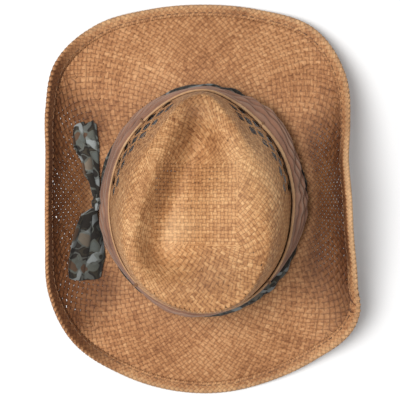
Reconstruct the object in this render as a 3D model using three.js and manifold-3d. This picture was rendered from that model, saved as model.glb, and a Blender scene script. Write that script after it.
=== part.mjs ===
// A woven straw western hat: rolled-up side brims, a teardrop crown with openwork vents, a
// hem folded over a brim wire, an inner sweatband, and a scarf hatband knotted on the left.
// Millimetres. +Z is up, +Y is the front of the hat, and z = 0 is the surface it stands on.
import * as THREE from 'three';
import { ParametricGeometry } from 'three/addons/geometries/ParametricGeometry.js';
import { mergeVertices } from 'three/addons/utils/BufferGeometryUtils.js';
import Module from 'manifold-3d';

// ---- Driving dimensions ----
const STRAW = 2.0; // thickness of the woven straw
const GAP = 0.35; // clearance between pieces that touch
const BREAK_HEIGHT = 25.5; // underside of the brim where it meets the crown
const HEAD_HALF_WIDTH = 94.5; // crown foot, outside, across the hat
const HEAD_HALF_LENGTH = 104.5; // crown foot, outside, front to back

const AROUND = 60; // facets round the hat
const HEM_WIDTH = 10;
const HEM_PLY = 1.5; // thickness of one turned layer of the hem
const EDGE_FOLD = 1.5; // how far the hem's fold stands out past the brim's edge
const WIRE_RADIUS = 0.6;
const WIRE_INSET = 1.0; // wire centre, in from the brim's edge
const THREAD = 0.6;

const BAND_BASE = 4; // hatband heights above the break
const BAND_TOP = 36;
const BAND_THICKNESS = 4.2;
const WRAP_THICKNESS = 3.6;
const PIPING = 2.6;
const SWEATBAND_HEIGHT = 32;
const SWEATBAND_THICKNESS = 1.4;

// The brim's edge, going round from the right side through the front:
// [angle, reach from the centre, height over the front edge, slope of the brim at its edge]
const BRIM_EDGE = [
  [0, 135, 74, 50], [15, 137, 71, 52], [27, 151, 59, 50], [42, 177, 35, 30], [57, 192, 13, 8],
  [74, 187, 2, -12], [90, 184.4, 0, -20], [106, 187, 2, -12], [122, 193, 11, 8], [137, 188, 31, 32],
  [150, 167, 55, 58], [164, 149, 71, 70], [180, 143, 78, 76], [196, 149, 73, 72], [212, 167, 55, 58],
  [228, 181, 29, 28], [245, 183, 9, 0], [260, 184, 1, -16], [275, 184.5, 0, -20], [290, 184, 3, -12],
  [305, 185, 14, 8], [317, 186, 33, 26], [324, 179, 44, 34], [331, 162, 56, 46], [345, 142, 70, 52],
];

// The crown's crest, the ridge round the teardrop dent: [angle, radius, height above the break]
const CREST = [
  [0, 50, 110], [16, 47, 109], [47, 53, 105], [71, 69, 99], [90, 90, 91], [117, 72, 99],
  [140, 60, 106], [167, 57, 111], [184, 63, 112], [198, 70, 112], [216, 81, 111], [232, 89, 109],
  [252, 95, 105], [270, 98, 103], [289, 94, 105], [306, 81, 109], [324, 68, 110], [346, 53, 110],
];

// Where the scarf's printed face gives way to its plain wrap: [angle, height above the break]
const WRAP_EDGE = [
  [0, 11], [60, 17], [90, 25], [120, 15], [180, 8], [225, 12], [250, 24], [285, 28], [315, 20], [345, 12],
];

// ---- Smooth curves round the hat ----
const radians = THREE.MathUtils.degToRad;
const smooth = (x) => THREE.MathUtils.smoothstep(x, 0, 1);
const up = new THREE.Vector3(0, 0, 1);

// A closed smooth curve through rows of [angle, value, ...], read at any angle in degrees.
function closedCurve(rows) {
  const row = (i) => rows[(i + rows.length) % rows.length];
  const angle = (i) => row(i)[0] + 360 * Math.floor(i / rows.length);
  const slope = (i, k) => (row(i + 1)[k] - row(i - 1)[k]) / (angle(i + 1) - angle(i - 1));
  return (degrees, k) => {
    const a = ((degrees % 360) + 360) % 360;
    let i = rows.length - 1;
    while (rows[i][0] > a) i--;
    const step = angle(i + 1) - angle(i);
    const t = (a - angle(i)) / step;
    const [p, q] = [row(i)[k], row(i + 1)[k]];
    const [m, n] = [slope(i, k) * step, slope(i + 1, k) * step];
    return p + t * (m + t * (3 * (q - p) - 2 * m - n + t * (2 * (p - q) + m + n)));
  };
}

const brimEdge = closedCurve(BRIM_EDGE);
const crest = closedCurve(CREST);
const wrapEdge = closedCurve(WRAP_EDGE);

// Radius of the crown's foot, an oval.
function footRadius(degrees) {
  const a = radians(degrees);
  return 1 / Math.hypot(Math.cos(a) / HEAD_HALF_WIDTH, Math.sin(a) / HEAD_HALF_LENGTH);
}

function cylindrical(degrees, r, z) {
  const a = radians(degrees);
  return new THREE.Vector3(r * Math.cos(a), r * Math.sin(a), z);
}

// ---- Brim surface ----
// The brim's lower face in the plane through the hat's axis: a Bezier from foot to edge.
function brimProfile(degrees) {
  const sideways = Math.cos(radians(degrees)) ** 2;
  const foot = new THREE.Vector2(footRadius(degrees) + GAP, BREAK_HEIGHT);
  const edge = new THREE.Vector2(brimEdge(degrees, 1) - EDGE_FOLD, brimEdge(degrees, 2) + 1.3);
  const span = edge.x - foot.x;
  const startSlope = radians(-1 + 9 * sideways);
  const start = span * (0.4 + 0.38 * sideways);
  const edgeSlope = radians(brimEdge(degrees, 3));
  const end = edge.distanceTo(foot) * 0.3;
  return new THREE.CubicBezierCurve(
    foot,
    new THREE.Vector2(foot.x + start * Math.cos(startSlope), foot.y + start * Math.sin(startSlope)),
    new THREE.Vector2(edge.x - end * Math.cos(edgeSlope), edge.y - end * Math.sin(edgeSlope)),
    edge,
  );
}

// A point on the brim: t from 0 at the crown to 1 at the edge, lifted square to the lower face.
function brimPoint(degrees, t, lift) {
  const profile = brimProfile(degrees);
  const p = profile.getPoint(t);
  const along = profile.getTangent(t);
  return cylindrical(degrees, p.x - along.y * lift, p.y + along.x * lift);
}

// A point given by its distance in from the brim's edge, or out past it where that is negative.
function edgePoint(degrees, inset, lift) {
  const profile = brimProfile(degrees);
  const p = profile.getPointAt(1 - Math.max(inset, 0) / profile.getLength());
  const along = profile.getTangentAt(1 - Math.max(inset, 0) / profile.getLength());
  const past = Math.max(-inset, 0);
  return cylindrical(
    degrees,
    p.x + along.x * past - along.y * lift,
    p.y + along.y * past + along.x * lift,
  );
}

// Height of the brim's upper face above a point of the plan.
function brimTop(x, y) {
  const degrees = THREE.MathUtils.radToDeg(Math.atan2(y, x));
  const r = Math.hypot(x, y);
  let [low, high] = [0, 1];
  for (let i = 0; i < 24; i++) {
    const mid = (low + high) / 2;
    const p = brimPoint(degrees, mid, STRAW);
    if (Math.hypot(p.x, p.y) < r) low = mid;
    else high = mid;
  }
  return brimPoint(degrees, low, STRAW).z;
}

// ---- Crown surface ----
const DENT_DEPTH = 27;
const TOP_HEIGHT = 112; // of the top over the break, were there no dent
const DENT_CENTRE = new THREE.Vector2(-27, -6); // where the dent's facets meet
const DENT_LEFT_WIDTH = 31; // steep left side of the dent
const DENT_RIGHT_WIDTH = 92; // gentle right side
const PINCHES = [[126, 5], [56, 5]]; // [angle, depth] of the two front pinches

// The dent's deepest line runs from the front centre to the rear left.
const valleyX = (y) => -34.5 * smooth((80 - y) / 128);

function dent(x, y, inward) {
  const reach = smooth((93 - y) / 52) * smooth((y + 88) / 50);
  const u = x - valleyX(y);
  const left = Math.cos((Math.PI / 2) * Math.min(1, -u / DENT_LEFT_WIDTH)) ** 2;
  const w = Math.min(1, u / DENT_RIGHT_WIDTH);
  const right = 0.62 * Math.exp(-((w / 0.27) ** 2)) + 0.38 * Math.cos((Math.PI / 2) * w) ** 2;
  return DENT_DEPTH * reach * (u < 0 ? left : right) * smooth(inward / 0.45);
}

// The wall's curve from foot to crest, and the slope with which it goes over into the top.
function crownProfile(degrees) {
  const foot = footRadius(degrees);
  const [ridge, height] = [crest(degrees, 1), crest(degrees, 2)];
  const [cos, sin] = [Math.cos(radians(degrees)), Math.sin(radians(degrees))];
  const rightward = Math.max(0, Math.cos(radians(degrees - 20)));
  const shoulder = 3 + (0.42 + 0.2 * rightward) * (foot - ridge);
  const lean = 5 + 1.5 * cos - 6 * Math.max(0, -sin) ** 2 + 0.5 * shoulder; // least at the back
  const slope = 0.12 + 0.28 * rightward;
  const wall = new THREE.CubicBezierCurve(
    new THREE.Vector2(foot, 0),
    new THREE.Vector2(foot - lean, 0.28 * height),
    new THREE.Vector2(ridge + shoulder, height - slope * shoulder),
    new THREE.Vector2(ridge, height),
  );
  return { wall, slope };
}

// v runs from 0 at the crown's foot to 1 on the crest, then to 2 at the dent's centre.
function crownOutside(degrees, v) {
  const { wall, slope } = crownProfile(degrees);
  if (v <= 1) {
    const p = wall.getPoint(v);
    const pinch = PINCHES.reduce(
      (sum, [angle, depth]) => sum + depth * Math.exp(-(((degrees - angle) / 17) ** 2)),
      0,
    );
    return cylindrical(degrees, p.x - pinch * Math.sin(Math.PI * v ** 1.6) ** 2, BREAK_HEIGHT + p.y);
  }
  const inward = v - 1;
  const { x: ridge, y: height } = wall.v3;
  const p = cylindrical(degrees, ridge, 0);
  const [acrossTop, alongTop] = [DENT_CENTRE.x - p.x, DENT_CENTRE.y - p.y];
  p.x += acrossTop * inward;
  p.y += alongTop * inward;
  const dome = slope * Math.hypot(acrossTop, alongTop) * inward * (1 - inward) ** 2;
  const top = height + dome + (TOP_HEIGHT - height) * smooth(inward);
  p.z = BREAK_HEIGHT + top - dent(p.x, p.y, inward);
  return p;
}

// The crown's surface moved square to itself: positive lifts go outward.
function crownPoint(degrees, v, lift) {
  const p = crownOutside(degrees, v);
  if (v > 1.999) return p.addScaledVector(up, lift);
  const [below, above] = [Math.max(0, v - 0.01), Math.min(1.96, v + 0.01)];
  const along = crownOutside(degrees, Math.max(above, below + 0.01)).sub(crownOutside(degrees, below));
  const round = crownOutside(degrees + 0.5, v).sub(crownOutside(degrees - 0.5, v));
  return p.addScaledVector(round.cross(along).normalize(), lift);
}

// A point on the crown's wall at a height above the break, lifted off it.
function wallPoint(degrees, height, lift) {
  let [low, high] = [0, 1];
  for (let i = 0; i < 24; i++) {
    const mid = (low + high) / 2;
    if (crownOutside(degrees, mid).z - BREAK_HEIGHT < height) low = mid;
    else high = mid;
  }
  return crownPoint(degrees, low, lift);
}

// ---- Solids from sections ----
// A ring round the hat. section(degrees) gives the corners of its closed section.
function ring(section, slices = AROUND) {
  const rows = Array.from({ length: slices }, (_, i) => section((360 * i) / slices));
  const corners = rows[0].length;
  return new ParametricGeometry(
    (u, v, target) => {
      const row = rows[Math.round(u * slices) % slices];
      target.copy(row[Math.round(v * corners) % corners]);
    },
    slices,
    corners,
  );
}

// A bar through sections of equal corner count, each end zipped shut along its middle line.
function bar(sections) {
  const zip = (corners) => corners.map((p, i) => p.clone().lerp(corners.at(-1 - i), 0.5));
  const rows = [zip(sections[0]), ...sections, zip(sections.at(-1))];
  const corners = sections[0].length;
  return new ParametricGeometry(
    (u, v, target) => target.copy(rows[Math.round(u * (rows.length - 1))][Math.round(v * corners) % corners]),
    rows.length - 1,
    corners,
  );
}

// ---- Booleans ----
const wasm = await Module();
wasm.setup();

function toSolid(geometry) {
  const bare = geometry.clone();
  bare.deleteAttribute('normal');
  bare.deleteAttribute('uv');
  const merged = mergeVertices(bare, 1e-3);
  return new wasm.Manifold(new wasm.Mesh({
    numProp: 3,
    vertProperties: merged.attributes.position.array,
    triVerts: new Uint32Array(merged.index.array),
  }));
}

function toGeometry(solid) {
  const mesh = solid.getMesh();
  return new THREE.BufferGeometry()
    .setAttribute('position', new THREE.BufferAttribute(mesh.vertProperties, 3))
    .setIndex(new THREE.BufferAttribute(mesh.triVerts, 1));
}

// ---- Pieces ----
// Crown shell: inside from the dent's centre down to the foot, then back up the outside.
const CROWN_LEVELS = [0, 0.1, 0.21, 0.34, 0.5, 0.68, 0.85, 1, 1.15, 1.32, 1.52, 1.74, 2];

function crownShell() {
  const levels = CROWN_LEVELS.length;
  return new ParametricGeometry(
    (u, v, target) => {
      const degrees = 360 * (u % 1);
      const j = Math.round(v * (2 * levels - 1));
      const inside = j < levels;
      const level = CROWN_LEVELS[inside ? levels - 1 - j : j - levels];
      target.copy(crownPoint(degrees, level, inside ? -STRAW : 0));
    },
    AROUND,
    2 * levels - 1,
  );
}

// Openwork vents: staggered rows of upright diamonds on both front sides of the crown.
const VENT_ROWS = [43, 54, 65]; // heights above the break
const VENT_PITCH = 11.5; // degrees between the vents of a row
const VENT_WIDTH = 8.4;
const VENT_HEIGHT = 10.5;
const VENTS_IN_A_ROW = 6;
const VENT_STARTS = [8, 111]; // angle of the first vent, right side and left side

function ventCutters() {
  const cutters = [];
  for (const start of VENT_STARTS) {
    VENT_ROWS.forEach((height, row) => {
      for (let i = 0; i < VENTS_IN_A_ROW; i++) {
        const degrees = start + VENT_PITCH * (i + (row % 2) / 2);
        const centre = wallPoint(degrees, height, 0);
        const out = wallPoint(degrees, height, 1).sub(centre);
        const diamond = new THREE.CylinderGeometry(1, 1, 14, 4).scale(VENT_WIDTH / 2, 1, VENT_HEIGHT / 2);
        const across = new THREE.Vector3().crossVectors(out, up).normalize();
        const steep = new THREE.Vector3().crossVectors(across, out);
        diamond.applyMatrix4(new THREE.Matrix4().makeBasis(across, out, steep).setPosition(centre));
        cutters.push(toSolid(diamond));
      }
    });
  }
  return cutters;
}

function crownGeometry() {
  const vented = ventCutters().reduce((crown, vent) => crown.subtract(vent), toSolid(crownShell()));
  return toGeometry(vented);
}

// Brim shell, which stops short of the hem's fold to leave room for the wire.
const BRIM_INSET = 2.4;
const HEM_MIDDLE = (BRIM_INSET + HEM_WIDTH) / 2;
const BRIM_STEPS = 5;

function brimGeometry() {
  return ring((degrees) => {
    const length = brimProfile(degrees).getLength();
    const open = Array.from(
      { length: BRIM_STEPS },
      (_, i) => length - (i / BRIM_STEPS) * (length - HEM_WIDTH),
    );
    const insets = [...open, HEM_WIDTH, HEM_MIDDLE, BRIM_INSET];
    const under = insets.map((inset) => edgePoint(degrees, inset, 0));
    const over = insets.map((inset) => edgePoint(degrees, inset, STRAW));
    return [...under, ...over.reverse()];
  });
}

// Hem: one turned strip round the brim's edge, trimmed flat where the hat stands on it.
function hemGeometry() {
  const [under, over] = [-GAP, STRAW + GAP];
  const section = [
    [HEM_WIDTH, over], [HEM_MIDDLE, over], [BRIM_INSET, over], [-0.4, over - 0.4],
    [-0.4, under + 0.4], [BRIM_INSET, under], [HEM_MIDDLE, under], [HEM_WIDTH, under],
    [HEM_WIDTH, under - HEM_PLY], [HEM_MIDDLE, under - HEM_PLY], [0, under - HEM_PLY],
    [-EDGE_FOLD, under + 0.4], [-EDGE_FOLD, over - 0.4],
    [0, over + HEM_PLY], [HEM_MIDDLE, over + HEM_PLY], [HEM_WIDTH, over + HEM_PLY],
  ];
  const hem = ring((degrees) => section.map(([inset, lift]) => edgePoint(degrees, inset, lift)));
  const table = new THREE.BoxGeometry(600, 600, 40).translate(0, 0, -20);
  return toGeometry(toSolid(hem).subtract(toSolid(table)));
}

// A round bar or thread that follows the brim's edge.
function alongEdge(inset, lift, radius, sides) {
  return (degrees) => Array.from({ length: sides }, (_, i) => {
    const a = (-2 * Math.PI * i) / sides;
    return edgePoint(degrees, inset + radius * Math.cos(a), lift + radius * Math.sin(a));
  });
}

const WIRE_JOINT = 270; // the wire's ends meet at the back of the hat
const SLEEVE_SPAN = 5; // degrees that the sleeve covers

function sleeveGeometry() {
  const tube = (radius, span) => toSolid(bar([-0.5, -0.25, 0, 0.25, 0.5].map((k) => (
    alongEdge(WIRE_INSET, STRAW / 2, radius, 8)(WIRE_JOINT + k * span)))));
  return toGeometry(tube(1.1, SLEEVE_SPAN).subtract(tube(WIRE_RADIUS + 0.25, SLEEVE_SPAN + 2)));
}

// A band lying on the crown's wall between two heights, with a soft outer face.
function wallBand(low, high, inner, thickness, bulge = 0.4, between = [0.5]) {
  return (degrees) => {
    const [from, to] = [low(degrees), high(degrees)];
    const heights = between.map((share) => from + share * (to - from));
    return [
      wallPoint(degrees, from, inner),
      wallPoint(degrees, from + 0.5, inner + thickness - bulge),
      ...heights.map((height) => wallPoint(degrees, height, inner + thickness)),
      wallPoint(degrees, to - 0.5, inner + thickness - bulge),
      wallPoint(degrees, to, inner),
      ...heights.reverse().map((height) => wallPoint(degrees, height, inner)),
    ];
  };
}

const KNOT_ANGLE = 182;
const KNOT_HEIGHT = 12.5; // above the break
const KNOT_SIZE = new THREE.Vector3(3.4, 7, 6.2); // half sizes
const knotCentre = wallPoint(KNOT_ANGLE, KNOT_HEIGHT, GAP + BAND_THICKNESS + GAP + KNOT_SIZE.x);

function knotGeometry() {
  return new THREE.SphereGeometry(1, 16, 10).scale(KNOT_SIZE.x, KNOT_SIZE.y, KNOT_SIZE.z)
    .translate(knotCentre.x, knotCentre.y, knotCentre.z);
}

// A scarf tail: from the knot down onto the brim, widening to its cut end.
const TAIL_THICKNESS = 2.4;
const TAIL_CLEARANCE = 1.2;
const TAILS = {
  front: { side: 1, length: 68, drift: -10, endWidth: 27 },
  rear: { side: -1, length: 63, drift: -9.4, endWidth: 33.5 },
};
const NECK_WIDTH = 8.5;
const TAIL_STEPS = 8;

function tailGeometry({ side, length, drift, endWidth }) {
  const start = new THREE.Vector2(knotCentre.x - 0.5, knotCentre.y + side * (KNOT_SIZE.y + 1));
  const sections = Array.from({ length: TAIL_STEPS + 1 }, (_, i) => {
    const s = i / TAIL_STEPS;
    const width = NECK_WIDTH + (endWidth - NECK_WIDTH) * s ** 1.1;
    const x = start.x + drift * s;
    const y = start.y + side * length * s;
    const lying = (k) => {
      const edge = x + k * width;
      return Math.max(
        brimTop(edge, y) + TAIL_CLEARANCE,
        THREE.MathUtils.lerp(knotCentre.z - 2, BREAK_HEIGHT, smooth(s / 0.5)),
      );
    };
    const lower = [-0.5, -0.25, 0, 0.25, 0.5].map((k) => new THREE.Vector3(x + k * width, y, lying(k)));
    const upper = lower.map((p) => p.clone().addScaledVector(up, TAIL_THICKNESS)).reverse();
    return side > 0 ? [...lower, ...upper] : [...lower, ...upper].reverse();
  });
  return bar(sections);
}

// Size label: a small blank loop of tape hanging inside the sweatband at the back.
const LABEL = { width: 24, height: 15, thickness: 0.8, top: 25 };
const labelPivot = wallPoint(270, LABEL.top, -STRAW - 2 * GAP - SWEATBAND_THICKNESS - 1.9);

function labelGeometry() {
  return new THREE.BoxGeometry(LABEL.width, LABEL.thickness, LABEL.height)
    .translate(labelPivot.x, labelPivot.y, labelPivot.z - LABEL.height / 2);
}

// Tacking stitches that hold the hatband to the crown over its piping.
const TACK_ANGLES = [52, 128, 232, 308];

function tackGeometry(degrees) {
  const inner = GAP + WRAP_THICKNESS;
  const heights = [BAND_TOP - 0.8, BAND_TOP + PIPING / 2, BAND_TOP + PIPING + 2.2];
  const half = 0.5; // degrees
  return bar(heights.map((height) => [
    wallPoint(degrees - half, height, inner), wallPoint(degrees + half, height, inner),
    wallPoint(degrees + half, height, inner + 0.9), wallPoint(degrees - half, height, inner + 0.9),
  ]));
}

// ---- Materials ----
const matte = (color, roughness) => new THREE.MeshStandardMaterial({ color, roughness, metalness: 0 });
const straw = matte(0xb9875a, 0.75);
const strawHem = matte(0xb07e50, 0.75);
const camouflage = matte(0x6f6f62, 0.85);
const mauve = matte(0x7d655c, 0.85);
const tan = matte(0xc79f74, 0.7);
const cotton = matte(0x423630, 0.9);
const thread = matte(0x9a7148, 0.7);
const label = matte(0xd9d4c6, 0.8);
const steel = new THREE.MeshStandardMaterial({ color: 0x8d9094, roughness: 0.35, metalness: 1 });

// ---- Assembly ----
const hat = new THREE.Group();

function piece(name, geometry, material) {
  const mesh = new THREE.Mesh(geometry, material);
  mesh.name = name;
  hat.add(mesh);
}

piece('crown', crownGeometry(), straw);
piece('brim', brimGeometry(), straw);
piece('brim_hem', hemGeometry(), strawHem);
piece('brim_wire', ring(alongEdge(WIRE_INSET, STRAW / 2, WIRE_RADIUS, 5)), steel);
piece('wire_sleeve', sleeveGeometry(), steel);

const hemFace = STRAW + GAP + HEM_PLY; // outer face of the hem's upper ply
piece('hem_stitch_top', ring(alongEdge(HEM_WIDTH - 1.5, hemFace + THREAD, THREAD / 2, 3)), thread);
piece('hem_stitch_under', ring(alongEdge(HEM_WIDTH - 1.5, STRAW - hemFace - THREAD, THREAD / 2, 3)), thread);

const sweatbandInner = -STRAW - GAP - SWEATBAND_THICKNESS;
const sweatbandSection = wallBand(
  () => 0.5,
  () => SWEATBAND_HEIGHT,
  sweatbandInner,
  SWEATBAND_THICKNESS,
  0,
  [0.25, 0.5, 0.75],
);
piece('sweatband', ring(sweatbandSection), cotton);
piece('sweatband_stitch', ring(wallBand(() => 2, () => 3.2, sweatbandInner - GAP - THREAD, THREAD, 0)), thread);
piece('size_label', labelGeometry(), label);

const seam = (degrees) => wrapEdge(degrees, 1);
piece('camo_band', ring(wallBand(() => BAND_BASE, (d) => seam(d) - GAP, GAP, BAND_THICKNESS)), camouflage);
piece('wrap_band', ring(wallBand(seam, () => BAND_TOP, GAP, WRAP_THICKNESS)), mauve);
piece('band_piping', ring(wallBand(() => BAND_TOP + GAP, () => BAND_TOP + GAP + PIPING, GAP, PIPING)), tan);
TACK_ANGLES.forEach((degrees, i) => piece(`band_tack_${i + 1}`, tackGeometry(degrees), thread));

piece('scarf_knot', knotGeometry(), camouflage);
piece('scarf_tail_front', tailGeometry(TAILS.front), camouflage);
piece('scarf_tail_rear', tailGeometry(TAILS.rear), camouflage);

export default hat;
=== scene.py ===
"""The straw western hat's looks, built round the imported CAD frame.

Shapes are worked out in millimetres, in the CAD's frame, and made in metres.
"""

import bpy
import numpy as np
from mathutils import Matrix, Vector
from numpy import arange, clip, concatenate, cos, cross, exp, hypot, interp, linspace
from numpy import maximum, minimum, mod, pi, radians, sin, stack, where


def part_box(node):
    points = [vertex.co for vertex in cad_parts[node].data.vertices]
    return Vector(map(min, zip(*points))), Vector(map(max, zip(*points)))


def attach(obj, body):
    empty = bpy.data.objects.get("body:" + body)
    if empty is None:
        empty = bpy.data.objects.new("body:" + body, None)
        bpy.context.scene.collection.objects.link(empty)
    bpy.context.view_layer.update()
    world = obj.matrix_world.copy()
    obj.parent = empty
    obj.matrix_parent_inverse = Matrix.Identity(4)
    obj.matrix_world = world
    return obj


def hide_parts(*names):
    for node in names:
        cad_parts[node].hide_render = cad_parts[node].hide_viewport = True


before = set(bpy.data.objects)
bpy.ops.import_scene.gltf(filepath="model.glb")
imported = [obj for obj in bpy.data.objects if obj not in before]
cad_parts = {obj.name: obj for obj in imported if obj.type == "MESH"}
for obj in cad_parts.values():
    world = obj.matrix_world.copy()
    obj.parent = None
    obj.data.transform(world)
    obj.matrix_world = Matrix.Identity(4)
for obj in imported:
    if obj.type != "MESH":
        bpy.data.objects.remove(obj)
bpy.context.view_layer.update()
BODY = "hat"

# ---------------- the hat's shape, as in the CAD
STRAW = 2.0
GAP = 0.35
BREAK_HEIGHT = 25.5
HEAD_HALF_WIDTH, HEAD_HALF_LENGTH = 94.5, 104.5
EDGE_FOLD = 1.5
EDGE_LIFT = 1.3
WEAVE_STOP = 1.5  # how far in from the edge, inside the hem's fold, the brim's own weave ends

BRIM_EDGE = [  # angle, reach, height, slope
    [0, 135, 74, 50], [15, 137, 71, 52], [27, 151, 59, 50], [42, 177, 35, 30], [57, 192, 13, 8],
    [74, 187, 2, -12], [90, 184.4, 0, -20], [106, 187, 2, -12], [122, 193, 11, 8], [137, 188, 31, 32],
    [150, 167, 55, 58], [164, 149, 71, 70], [180, 143, 78, 76], [196, 149, 73, 72], [212, 167, 55, 58],
    [228, 181, 29, 28], [245, 183, 9, 0], [260, 184, 1, -16], [275, 184.5, 0, -20], [290, 184, 3, -12],
    [305, 185, 14, 8], [317, 186, 33, 26], [324, 179, 44, 34], [331, 162, 56, 46], [345, 142, 70, 52],
]
CREST = [  # angle, radius, height over the break
    [0, 50, 110], [16, 47, 109], [47, 53, 105], [71, 69, 99], [90, 90, 91], [117, 72, 99],
    [140, 60, 106], [167, 57, 111], [184, 63, 112], [198, 70, 112], [216, 81, 111], [232, 89, 109],
    [252, 95, 105], [270, 98, 103], [289, 94, 105], [306, 81, 109], [324, 68, 110], [346, 53, 110],
]


def smooth(x):
    x = clip(x, 0.0, 1.0)
    return x * x * (3 - 2 * x)


def closed_curve(rows):
    """A smooth closed curve through rows of [angle, value, ...]."""
    table = np.array(rows, float)
    angle = concatenate([table[-2:, 0] - 360, table[:, 0], table[:3, 0] + 360])
    value = np.vstack([table[-2:], table, table[:3]])[:, 1:]
    slope = np.zeros_like(value)
    slope[1:-1] = (value[2:] - value[:-2]) / (angle[2:] - angle[:-2])[:, None]

    def read(degrees, column=0):
        a = degrees % 360.0
        i = np.searchsorted(angle, a, side="right") - 1
        step = angle[i + 1] - angle[i]
        t = (a - angle[i]) / step
        p, q = value[i, column], value[i + 1, column]
        m, n = slope[i, column] * step, slope[i + 1, column] * step
        return p + t * (m + t * (3 * (q - p) - 2 * m - n + t * (2 * (p - q) + m + n)))

    return read


brim_edge = closed_curve(BRIM_EDGE)
crest = closed_curve(CREST)
WHOLE_DEGREES = arange(361.0)


def norm(v):
    return np.linalg.norm(v, axis=-1)


def unit(v):
    return v / maximum(norm(v), 1e-9)[..., None]


def run_length(p):
    """How far along a run of points each one lies."""
    return concatenate([[0], norm(np.diff(p, axis=0)).cumsum()])


def foot_radius(degrees):
    a = radians(degrees)
    return 1 / hypot(cos(a) / HEAD_HALF_WIDTH, sin(a) / HEAD_HALF_LENGTH)


def polar(degrees, r, z):
    a = radians(degrees)
    return stack(np.broadcast_arrays(r * cos(a), r * sin(a), z), -1)


def bezier(points, t):
    """A cubic Bezier's point and slope, for four (r, z) pairs of arrays."""
    u = 1 - t
    weights = (u**3, 3 * t * u * u, 3 * t * t * u, t**3)
    slopes = (-3 * u * u, 3 * u * u - 6 * t * u, 6 * t * u - 3 * t * t, 3 * t * t)
    r, z = (sum(w * p[k] for w, p in zip(weights, points)) for k in (0, 1))
    dr, dz = (sum(w * p[k] for w, p in zip(slopes, points)) for k in (0, 1))
    return r, z, dr, dz


def brim_surface(degrees, t, lift):
    """A point on the brim: t from 0 at the crown to 1 at the edge, lifted off the lower face."""
    sideways = cos(radians(degrees)) ** 2
    foot = foot_radius(degrees) + GAP
    edge, edge_z = brim_edge(degrees) - EDGE_FOLD, brim_edge(degrees, 1) + EDGE_LIFT
    span = edge - foot
    first, a = span * (0.4 + 0.38 * sideways), radians(-1 + 9 * sideways)
    last, b = hypot(span, edge_z - BREAK_HEIGHT) * 0.3, radians(brim_edge(degrees, 2))
    r, z, dr, dz = bezier(
        (
            (foot, BREAK_HEIGHT),
            (foot + first * cos(a), BREAK_HEIGHT + first * sin(a)),
            (edge - last * cos(b), edge_z - last * sin(b)),
            (edge, edge_z),
        ),
        t,
    )
    n = hypot(dr, dz)
    return polar(degrees, r - dz / n * lift, z + dr / n * lift)


def halve(is_short, shape, steps):
    """The share, from 0 to 1, up to which is_short(share) is true, by halving."""
    low, high = np.zeros(shape), np.ones(shape)
    for _ in range(steps):
        middle = (low + high) / 2
        short = is_short(middle)
        low, high = where(short, middle, low), where(short, high, middle)
    return low


def brim_top(x, y):
    """Height of the brim's upper face above points of the plan."""
    degrees, r = np.degrees(np.arctan2(y, x)), hypot(x, y)

    def is_short(t):
        p = brim_surface(degrees, t, STRAW)
        return hypot(p[..., 0], p[..., 1]) < r

    return brim_surface(degrees, halve(is_short, r.shape, 24), STRAW)[..., 2]


def inset_table():
    """The brim's t for each whole degree and each half millimetre in from the edge."""
    t = linspace(1, 0, 241)
    p = brim_surface(WHOLE_DEGREES[:, None], t[None], 0.0)
    return np.array([interp(arange(0, 30.5, 0.5), run_length(row), t) for row in p])


BRIM_T = inset_table()


def brim_t(degrees, inset):
    """The brim's t at a distance in from its edge."""
    d, i = np.broadcast_arrays(degrees % 360.0, clip(inset, 0, 29.9) * 2)
    d0, i0 = d.astype(int), i.astype(int)
    fd, fi = d - d0, i - i0
    rows = (BRIM_T[d0, i0] * (1 - fi) + BRIM_T[d0, i0 + 1] * fi) * (1 - fd)
    return rows + (BRIM_T[d0 + 1, i0] * (1 - fi) + BRIM_T[d0 + 1, i0 + 1] * fi) * fd


def edge_surface(degrees, inset, lift):
    """A point by its distance in from the brim's edge, or out past it where that is negative."""
    p = brim_surface(degrees, brim_t(degrees, inset), lift)
    t = np.ones_like(degrees + 0.0)
    out = brim_surface(degrees, t, 0.0) - brim_surface(degrees, t - 0.01, 0.0)
    return p + unit(out) * maximum(-inset, 0.0)[..., None]


# Crown
DENT_DEPTH = 27.0
DENT_CENTRE = np.array([-27.0, -6.0])
DENT_LEFT_WIDTH, DENT_RIGHT_WIDTH = 31.0, 92.0
DENT_FRONT, DENT_FRONT_FADE = 93, 52
DENT_REAR, DENT_REAR_FADE = -88, 50
DENT_LEAN, LEAN_START, LEAN_RUN = 34.5, 80, 128  # its line leans to the left on its way to the rear
PINCHES = ((126, 5.0), (56, 5.0))  # angle, depth
PINCH_WIDTH = 17
TOP_HEIGHT = 112.0  # of the top over the break, were there no dent


def dent(x, y, inward):
    """How deep the dent is: steep on its left and long on its right."""
    reach = smooth((DENT_FRONT - y) / DENT_FRONT_FADE) * smooth((y - DENT_REAR) / DENT_REAR_FADE)
    u = x + DENT_LEAN * smooth((LEAN_START - y) / LEAN_RUN)
    left = cos(pi / 2 * clip(-u / DENT_LEFT_WIDTH, 0, 1)) ** 2
    w = clip(u / DENT_RIGHT_WIDTH, 0, 1)
    right = 0.62 * exp(-((w / 0.27) ** 2)) + 0.38 * cos(pi / 2 * w) ** 2
    return DENT_DEPTH * reach * where(u < 0, left, right) * smooth(inward / 0.45)


def crown_profile(degrees):
    """The wall's curve from foot to crest, and the slope with which it goes over into the top."""
    foot, ridge, height = foot_radius(degrees), crest(degrees), crest(degrees, 1)
    a = radians(degrees)
    rightward = maximum(0, cos(radians(degrees - 20)))
    shoulder = 3 + (0.42 + 0.2 * rightward) * (foot - ridge)
    lean = 5 + 1.5 * cos(a) - 6 * maximum(0, -sin(a)) ** 2 + 0.5 * shoulder
    slope = 0.12 + 0.28 * rightward
    handles = ((foot - lean, 0.28 * height), (ridge + shoulder, height - slope * shoulder))
    return ((foot, 0.0), *handles, (ridge, height)), slope


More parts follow.
